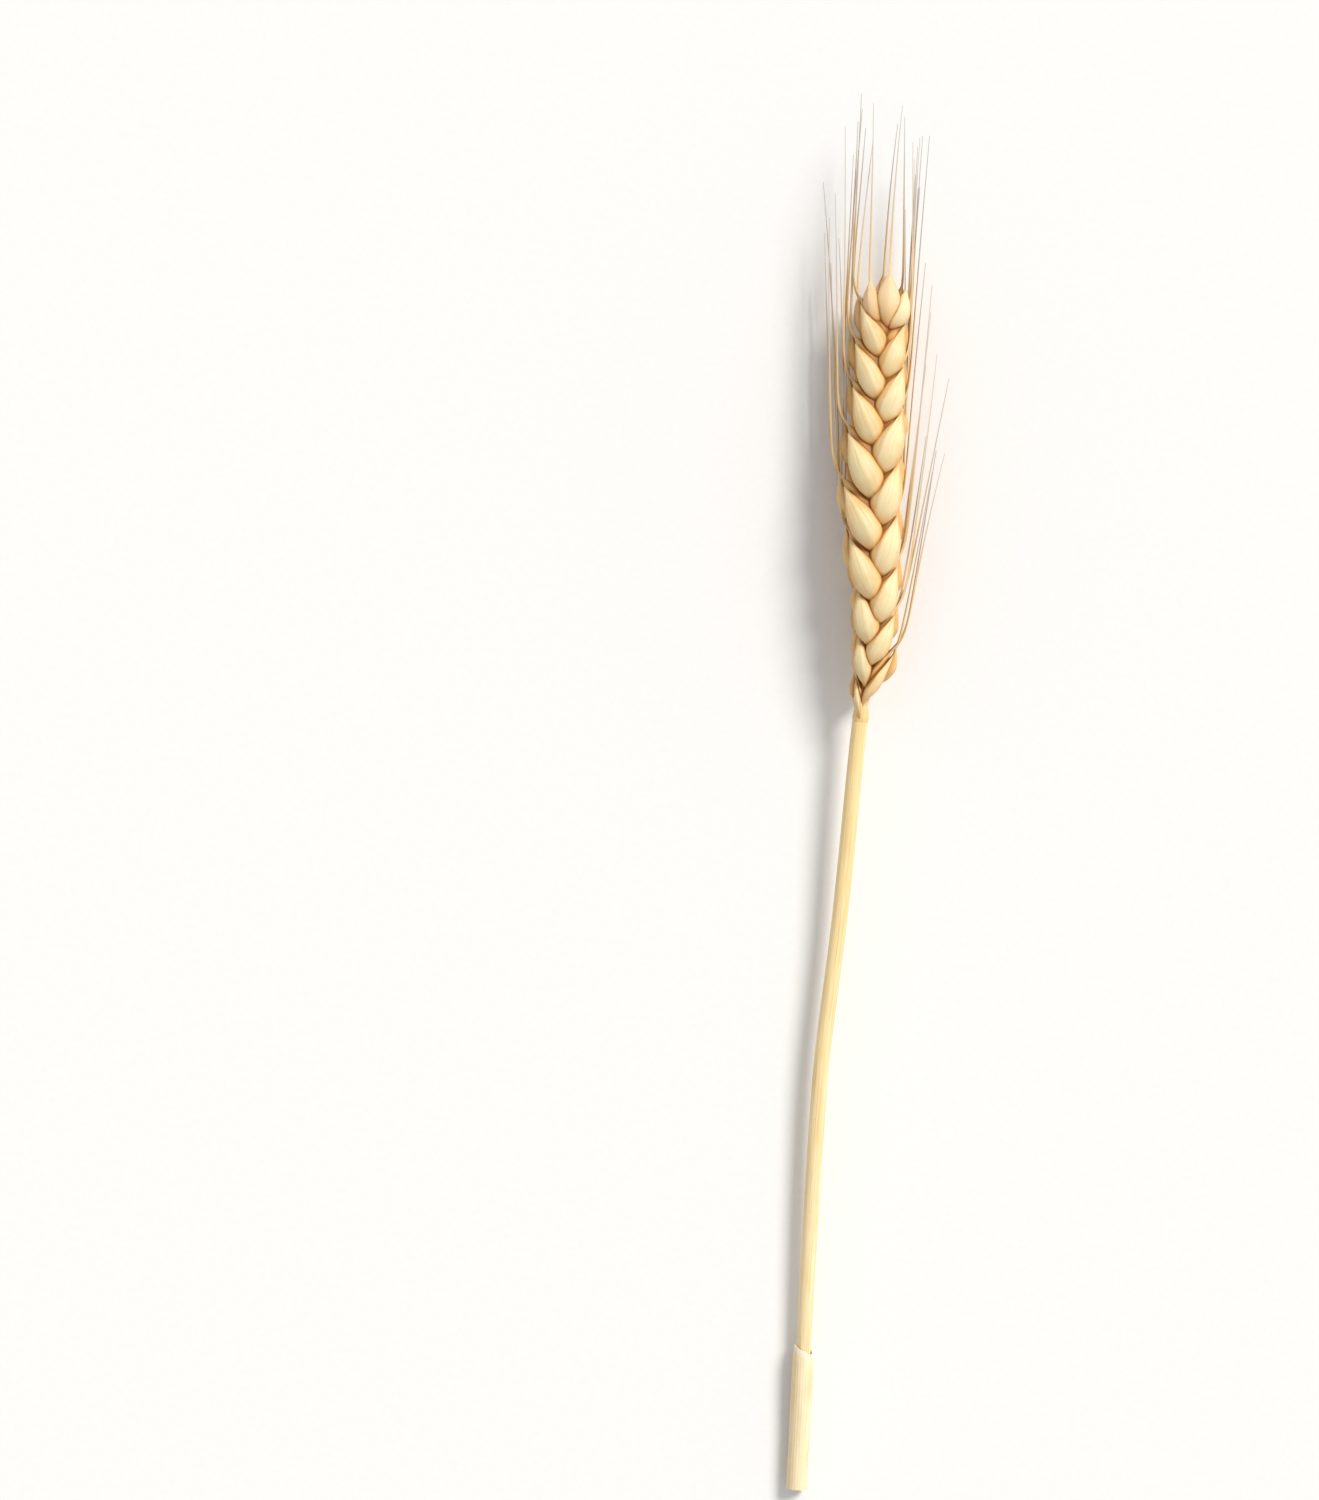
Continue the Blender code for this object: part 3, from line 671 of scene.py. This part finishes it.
def make_sheath():
    """The end of the leaf sheath: a thin, veined, slit tube whose mouth slants and ends in a papery rim."""
    shape = Shape()
    rng = random.Random(SHEATH_SEED)
    rows, columns = SHEATH_ROWS, SHEATH_COLUMNS
    uneven = waves(rng, 5, SHEATH_UNEVEN)
    frill = waves(rng, 5, SHEATH_FRILL)
    share = np.linspace(0, 1, columns)
    angle = SHEATH_SLIT_AT + SHEATH_SLIT / 2 + share * (math.tau - SHEATH_SLIT)
    veins = SHEATH_VEIN * np.abs(np.cos(share * math.pi * SHEATH_VEINS)) ** 6
    slant = SHEATH_SLANT * (0.5 - 0.5 * np.cos(math.tau * share))
    rings = []
    places = np.linspace(0, 1, rows)
    for r in places:
        outer, inner = [], []
        mouth = SHEATH_LENGTH - slant + frill(share * 2, 0.3) * fade(r, 0.9, 1.0)
        edge = fade(np.minimum(share, 1 - share), 0.0, 0.06)
        wall = SHEATH_WALL * (0.3 + 0.5 * edge) * (1 - 0.6 * fade(r, 0.85, 1.0))
        radius = SHEATH_INSIDE + SHEATH_WALL + 0.1 * MM * r
        radius = radius + uneven(share, r) + veins * (1 - fade(r, 0.93, 1.0))
        radius = radius - 0.16 * MM * (1 - edge) - 0.18 * MM * fade(r, 0.9, 1.0)
        for c in range(columns):
            d = mouth[c] * r
            right, up, _ = (np.array(v) for v in stalk_frame(d))
            centre = np.array(middle_line(d))
            away = right * math.cos(angle[c]) + up * math.sin(angle[c])
            outer.append(centre + away * radius[c])
            inner.append(centre + away * (radius[c] - wall[c]))
        rings.append(np.array(outer + inner[::-1]))
    across_uv = list(share) + list(share[::-1]) + [share[0]]
    shape.tube(np.array(rings), across_uv, list(places), ends=(False, False))
    # The two open ends are closed between the outer and the inner skin.
    last = (rows - 1) * 2 * columns
    for ring, turned, v in ((0, False, 0.0), (last, True, 1.0)):
        for c in range(columns - 1):
            face = (ring + c, ring + c + 1, ring + 2 * columns - 2 - c, ring + 2 * columns - 1 - c)
            us = (share[c], share[c + 1], share[c + 1], share[c])
            if turned:
                face, us = face[::-1], us[::-1]
            shape.faces.append(face)
            shape.uvs += [(u, v) for u in us]
    return shape.object("sheath", 50)


# ---------------------------------------------------------------------------------------------------------
# Materials
# ---------------------------------------------------------------------------------------------------------


class Finish:
    """A material, and short names for the nodes that it is made of."""

    def __init__(self, name, **sockets):
        self.material = bpy.data.materials.new(name)
        self.material.use_nodes = True
        self.tree = self.material.node_tree
        self.shader = self.tree.nodes["Principled BSDF"]
        for socket, value in sockets.items():
            self.shader.inputs[socket.replace("_", " ")].default_value = value

    def add(self, kind, output, inputs, **settings):
        node = self.tree.nodes.new(kind)
        for key, value in settings.items():
            setattr(node, key, value)
        for key, value in inputs.items():
            if isinstance(value, bpy.types.NodeSocket):
                self.tree.links.new(value, node.inputs[key])
            else:
                node.inputs[key].default_value = value
        return node.outputs[output]

    def give(self, socket, value):
        self.tree.links.new(value, self.shader.inputs[socket])

    def math(self, operation, a, b=0.0, c=0.0):
        return self.add("ShaderNodeMath", 0, {0: a, 1: b, 2: c}, operation=operation)

    def fade(self, value, low, high, bottom=0.0, top=1.0):
        return self.add(
            "ShaderNodeMapRange",
            0,
            {"Value": value, "From Min": low, "From Max": high, "To Min": bottom, "To Max": top},
            interpolation_type="SMOOTHSTEP",
        )

    def mix(self, share, a, b):
        return self.add("ShaderNodeMix", 2, {0: share, 6: a, 7: b}, data_type="RGBA")

    def noise(self, place, scale, detail, roughness):
        inputs = {"Vector": place, "Scale": scale, "Detail": detail, "Roughness": roughness}
        return self.add("ShaderNodeTexNoise", "Fac", inputs)

    def streaks(self, across, along, layer, detail, roughness, move=0.0):
        """Noise that follows the grain, with a scale of its own across and along it."""
        u, v = self.grain()
        x = self.math("MULTIPLY_ADD", u, across, move)
        return self.noise(self.place(x, self.math("MULTIPLY", v, along), layer), 1.0, detail, roughness)

    def grain(self):
        """u across and v along, from the UV map."""
        map_ = self.add("ShaderNodeUVMap", 0, {}, uv_map="Grain")
        split = self.tree.nodes.new("ShaderNodeSeparateXYZ")
        self.tree.links.new(map_, split.inputs[0])
        return split.outputs[0], split.outputs[1]

    def place(self, x, y, z):
        return self.add("ShaderNodeCombineXYZ", 0, {0: x, 1: y, 2: z})

    def tone(self):
        """From 0 to 1, a different value for each scale, awn or hair."""
        return self.add("ShaderNodeAttribute", "Fac", {}, attribute_name="tone")

    def painted_shade(self):
        """How closely its neighbours stand round a point, which sets the painted shade."""
        return self.add("ShaderNodeAttribute", "Fac", {}, attribute_name="painted_shade")

    def where(self):
        """The place on the object, in its own coordinates."""
        return self.add("ShaderNodeTexCoord", "Object", {})

    def bump(self, height, distance, strength):
        inputs = {"Height": height, "Distance": distance, "Strength": strength}
        self.give("Normal", self.add("ShaderNodeBump", 0, inputs))


def rgb(r, g, b):
    """A linear colour from its sRGB values, 0 to 255."""
    return tuple(((c / 255 + 0.055) / 1.055) ** 2.4 for c in (r, g, b)) + (1.0,)


TIP_TINT = (0.087, 0.097)  # along Y in metres: where the scales turn pinker towards the top


def chaff(name, belly, warm, deep, tip, nerves):
    """Dry chaff: pale, satin bellies and fine lengthwise fibres, with painted shade that warms it towards the
    base and margins and darkens it where scales close in.
    """
    f = Finish(name, Specular_IOR_Level=0.4, Subsurface_Weight=0.12, Subsurface_Scale=0.0006)
    f.shader.inputs["Subsurface Radius"].default_value = (1.0, 0.55, 0.25)
    u, v = f.grain()
    tone = f.tone()
    shift = f.math("MULTIPLY", tone, 37.0)
    fibres = f.streaks(60.0, 2.2, shift, 3.0, 0.6, move=shift)
    blotch = f.streaks(2.2, 3.0, shift, 3.0, 0.5, move=shift)
    specks = f.streaks(16.0, 22.0, shift, 2.0, 0.5, move=shift)
    # Painted shade: warmer towards the base and the margins, where a scale tucks under its neighbours. The
    # blotches and the tone add the chaff's own mottling.
    margin = f.math("ABSOLUTE", f.math("SUBTRACT", u, 0.5))
    low = f.fade(v, 0.5, 0.02)
    side = f.fade(margin, 0.04, 0.32)
    shade_and_mottle = f.math("MAXIMUM", f.math("MULTIPLY", low, 0.9), f.math("MULTIPLY", side, 0.8))
    shade_and_mottle = f.math("ADD", shade_and_mottle, f.fade(blotch, 0.35, 0.75, -0.12, 0.3))
    shade_and_mottle = f.math("ADD", shade_and_mottle, f.fade(tone, 0.0, 1.0, -0.1, 0.14))
    shade_and_mottle = f.math("MINIMUM", f.math("MAXIMUM", shade_and_mottle, 0.0), 1.0)
    colour = f.mix(shade_and_mottle, belly, warm)
    colour = f.mix(f.math("MULTIPLY", f.fade(v, 0.74, 1.0), 0.65), colour, tip)
    fine = f.fade(fibres, 0.25, 0.8)
    colour = f.mix(f.math("MULTIPLY", fine, 0.22), colour, warm)
    lines = f.math("COSINE", f.math("MULTIPLY", u, math.tau * nerves))
    lines = f.math("MULTIPLY", f.fade(lines, 0.8, 1.0), f.fade(v, 0.3, 0.8, 0.1, 0.35))
    colour = f.mix(lines, colour, warm)
    flecks = f.math("MULTIPLY", f.fade(specks, 0.72, 0.8), 0.35)
    colour = f.mix(flecks, colour, rgb(176, 122, 64))
    along_ear = f.add("ShaderNodeSeparateXYZ", 1, {0: f.where()})
    colour = f.mix(f.fade(along_ear, *TIP_TINT, 0.0, 0.55), colour, rgb(252, 218, 184))
    # Painted shade: the scales are darkened to warm brown where they stand close together, where shade falls
    # between them.
    painted_shade = f.painted_shade()
    colour = f.mix(f.fade(painted_shade, 0.08, 0.36, 0.0, 0.85), colour, warm)
    colour = f.mix(f.fade(painted_shade, 0.26, 0.57, 0.0, 0.92), colour, deep)
    f.give("Base Color", colour)
    f.give("Roughness", f.fade(fibres, 0.2, 0.9, 0.42, 0.62))
    f.bump(f.math("ADD", fibres, f.math("MULTIPLY", lines, 0.8)), 0.00011, 0.6)
    return f.material


def straw_finish():
    """Ripe straw: a hard golden skin with fine lengthwise lines, paler towards the cut."""
    f = Finish("straw_skin", Specular_IOR_Level=0.5, Coat_Weight=0.12, Coat_Roughness=0.3)
    v = f.grain()[1]
    fine = f.streaks(70.0, 9.0, 0.0, 4.0, 0.6)
    broad = f.streaks(5.0, 14.0, 4.0, 3.0, 0.5)
    specks = f.streaks(26.0, 260.0, 9.0, 1.0, 0.5)
    colour = f.mix(f.fade(v, 0.15, 0.9), rgb(253, 234, 188), rgb(251, 226, 168))
    colour = f.mix(f.fade(broad, 0.35, 0.75, 0.0, 0.45), colour, rgb(240, 202, 136))
    colour = f.mix(f.fade(fine, 0.4, 0.75, 0.0, 0.75), colour, rgb(214, 172, 104))
    colour = f.mix(f.fade(fine, 0.45, 0.2, 0.0, 0.4), colour, rgb(255, 240, 204))
    colour = f.mix(f.fade(specks, 0.74, 0.82, 0.0, 0.5), colour, rgb(170, 116, 62))
    inside = f.fade(v, -0.001, -0.002)
    colour = f.mix(inside, colour, rgb(240, 222, 178))
    f.give("Base Color", colour)
    f.give("Roughness", f.fade(fine, 0.2, 0.8, 0.3, 0.46))
    f.bump(fine, 0.00006, 0.5)
    return f.material


def sheath_finish():
    """Dry leaf sheath: matt and papery, with close parallel veins and a paler rim."""
    f = Finish("sheath_skin", Specular_IOR_Level=0.3, Subsurface_Weight=0.1, Subsurface_Scale=0.0006)
    f.shader.inputs["Subsurface Radius"].default_value = (1.0, 0.6, 0.3)
    u, v = f.grain()
    veins = f.math("ABSOLUTE", f.math("COSINE", f.math("MULTIPLY", u, math.pi * SHEATH_VEINS)))
    fine = f.streaks(90.0, 3.0, 0.0, 4.0, 0.6)
    broad = f.streaks(4.0, 3.0, 2.0, 3.0, 0.5)
    specks = f.streaks(30.0, 60.0, 5.0, 2.0, 0.5)
    colour = f.mix(f.fade(broad, 0.3, 0.75), rgb(250, 234, 196), rgb(240, 213, 164))
    colour = f.mix(f.fade(veins, 0.7, 1.0, 0.0, 0.35), colour, rgb(255, 243, 216))
    colour = f.mix(f.fade(fine, 0.35, 0.8, 0.0, 0.5), colour, rgb(224, 190, 140))
    colour = f.mix(f.fade(specks, 0.72, 0.8, 0.0, 0.4), colour, rgb(168, 124, 76))
    colour = f.mix(f.fade(v, 0.94, 1.0, 0.0, 0.8), colour, rgb(255, 246, 226))
    f.give("Base Color", colour)
    f.give("Roughness", f.fade(fine, 0.2, 0.8, 0.5, 0.68))
    f.bump(f.math("ADD", fine, f.math("MULTIPLY", veins, 0.5)), 0.00008, 0.5)
    return f.material


def awn_finish():
    """Awns: tan where they leave the ear, paler and greyer to their tips."""
    f = Finish("awn_skin", Specular_IOR_Level=0.45)
    u, v = f.grain()
    tone = f.tone()
    shift = f.math("MULTIPLY", tone, 23.0)
    place = f.place(f.math("MULTIPLY", u, 12.0), f.math("MULTIPLY_ADD", v, 30.0, shift), shift)
    fine = f.noise(place, 1.0, 3.0, 0.6)
    colour = f.mix(f.fade(v, 0.2, 0.75), rgb(232, 198, 142), rgb(206, 201, 197))
    colour = f.mix(f.fade(tone, 0.0, 1.0, 0.0, 0.35), colour, rgb(212, 184, 140))
    colour = f.mix(f.fade(fine, 0.35, 0.8, 0.0, 0.45), colour, rgb(200, 170, 126))
    f.give("Base Color", colour)
    f.give("Roughness", f.fade(fine, 0.2, 0.8, 0.38, 0.55))
    return f.material


def rachis_finish():
    """The rachis: straw-coloured, with paler, downy edges."""
    f = Finish("rachis_skin", Specular_IOR_Level=0.4)
    tone = f.tone()
    fine = f.streaks(40.0, 12.0, 0.0, 4.0, 0.6)
    colour = f.mix(f.fade(fine, 0.3, 0.8), rgb(246, 216, 156), rgb(220, 174, 104))
    colour = f.mix(f.fade(tone, 0.7, 0.8), colour, rgb(250, 238, 210))
    f.give("Base Color", colour)
    f.give("Roughness", f.fade(fine, 0.2, 0.8, 0.4, 0.6))
    f.bump(fine, 0.00006, 0.5)
    return f.material


def floor_finish():
    """A plain pale surface with a faint, soft grain."""
    f = Finish("floor_skin", Specular_IOR_Level=0.2)
    grain = f.noise(f.where(), 900.0, 3.0, 0.6)
    f.give("Base Color", f.mix(grain, (0.86, 0.86, 0.86, 1.0), (0.9, 0.9, 0.9, 1.0)))
    f.give("Roughness", f.fade(grain, 0.2, 0.8, 0.7, 0.85))
    return f.material


# ---------------------------------------------------------------------------------------------------------
# The scene
# ---------------------------------------------------------------------------------------------------------


def put(obj, material, node):
    """Gives a piece its material, and says what it rides on and which solid it stands for."""
    obj.data.materials.append(material)
    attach(obj, "root")
    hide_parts(node)


FLOOR_SIZE, FLOOR_STEPS = 1.6, 8


def make_floor():
    """The pale surface that the stalk lies on."""
    mesh = bpy.data.meshes.new("floor")
    line = np.linspace(-FLOOR_SIZE / 2, FLOOR_SIZE / 2, FLOOR_STEPS + 1)
    points = [(x, y, 0.0) for y in line for x in line]
    n = FLOOR_STEPS + 1
    corners = [r * n + c for r in range(FLOOR_STEPS) for c in range(FLOOR_STEPS)]
    faces = [(k, k + 1, k + n + 1, k + n) for k in corners]
    mesh.from_pydata(points, [], faces)
    floor = bpy.data.objects.new("floor", mesh)
    bpy.context.scene.collection.objects.link(floor)
    mesh.materials.append(floor_finish())


VIEW_CENTRE = (-36.86 * MM, 6.04 * MM)  # the place under the middle of the view
VIEW_HEIGHT = 288.46 * MM  # what the photograph's full height takes in, at the ear
VIEW_LEVEL = 8 * MM  # how high over the surface that is
VIEW_TURN = math.radians(4.32)
LENS, SENSOR = 100.0, 36.0


def make_camera():
    """The camera looks straight down, as the photograph does."""
    data = bpy.data.cameras.new("camera")
    data.lens = LENS
    data.sensor_width = SENSOR
    data.clip_start, data.clip_end = 0.01, 10
    camera = bpy.data.objects.new("camera", data)
    bpy.context.scene.collection.objects.link(camera)
    camera.location = (*VIEW_CENTRE, VIEW_LEVEL + VIEW_HEIGHT * LENS / SENSOR)
    camera.rotation_euler = (0, 0, VIEW_TURN)
    bpy.context.scene.camera = camera


KEY_STRENGTH = 2.82
KEY_COLOUR = (1.0, 0.97, 0.92)
KEY_SPREAD = math.radians(22)  # a broad source, for soft shadows
KEY_HEIGHT = math.radians(42)  # over the surface
KEY_FROM = math.radians(50)  # from +X, turning to +Y
SKY = 0.54


def make_light():
    """A broad, soft key light from the upper right, and a plain pale sky."""
    data = bpy.data.lights.new("key", "SUN")
    data.energy = KEY_STRENGTH
    data.color = KEY_COLOUR
    data.angle = KEY_SPREAD
    key = bpy.data.objects.new("key", data)
    bpy.context.scene.collection.objects.link(key)
    toward = Vector((
        math.cos(KEY_HEIGHT) * math.cos(KEY_FROM),
        math.cos(KEY_HEIGHT) * math.sin(KEY_FROM),
        math.sin(KEY_HEIGHT),
    ))
    key.rotation_euler = toward.to_track_quat("Z", "Y").to_euler()
    world = bpy.data.worlds.new("studio")
    world.use_nodes = True
    world.node_tree.nodes["Background"].inputs["Color"].default_value = (1.0, 1.0, 1.0, 1.0)
    world.node_tree.nodes["Background"].inputs["Strength"].default_value = SKY
    bpy.context.scene.world = world
    bpy.context.scene.view_settings.view_transform = "Standard"


def main():
    make_camera()
    make_light()
    make_floor()
    glumes, lemmas, paleas, awns = make_ear()
    rachis = make_rachis()
    mark_painted_shade([glumes, lemmas, paleas, rachis])
    # deep is the painted shade colour of the closest crevices.
    deep = rgb(150, 96, 40)
    glume_skin = chaff("glume_skin", rgb(244, 225, 178), rgb(232, 178, 106), deep, rgb(240, 202, 154), 6)
    # The lemma colours are darker than the glume's as painted shade: the lemmas show mostly in the crevices
    # between glumes.
    lemma_skin_painted_shade = chaff("lemma_skin_painted_shade", rgb(236, 198, 134), rgb(214, 158, 88), deep, rgb(240, 202, 150), 5)
    palea_skin = chaff("palea_skin", rgb(248, 224, 174), rgb(230, 180, 112), deep, rgb(246, 214, 168), 2)
    put(glumes, glume_skin, "ear")
    put(lemmas, lemma_skin_painted_shade, "ear")
    put(paleas, palea_skin, "ear")
    put(awns, awn_finish(), "ear")
    put(rachis, rachis_finish(), "ear")
    put(make_straw(), straw_finish(), "culm")
    put(make_sheath(), sheath_finish(), "leaf_sheath")


main()
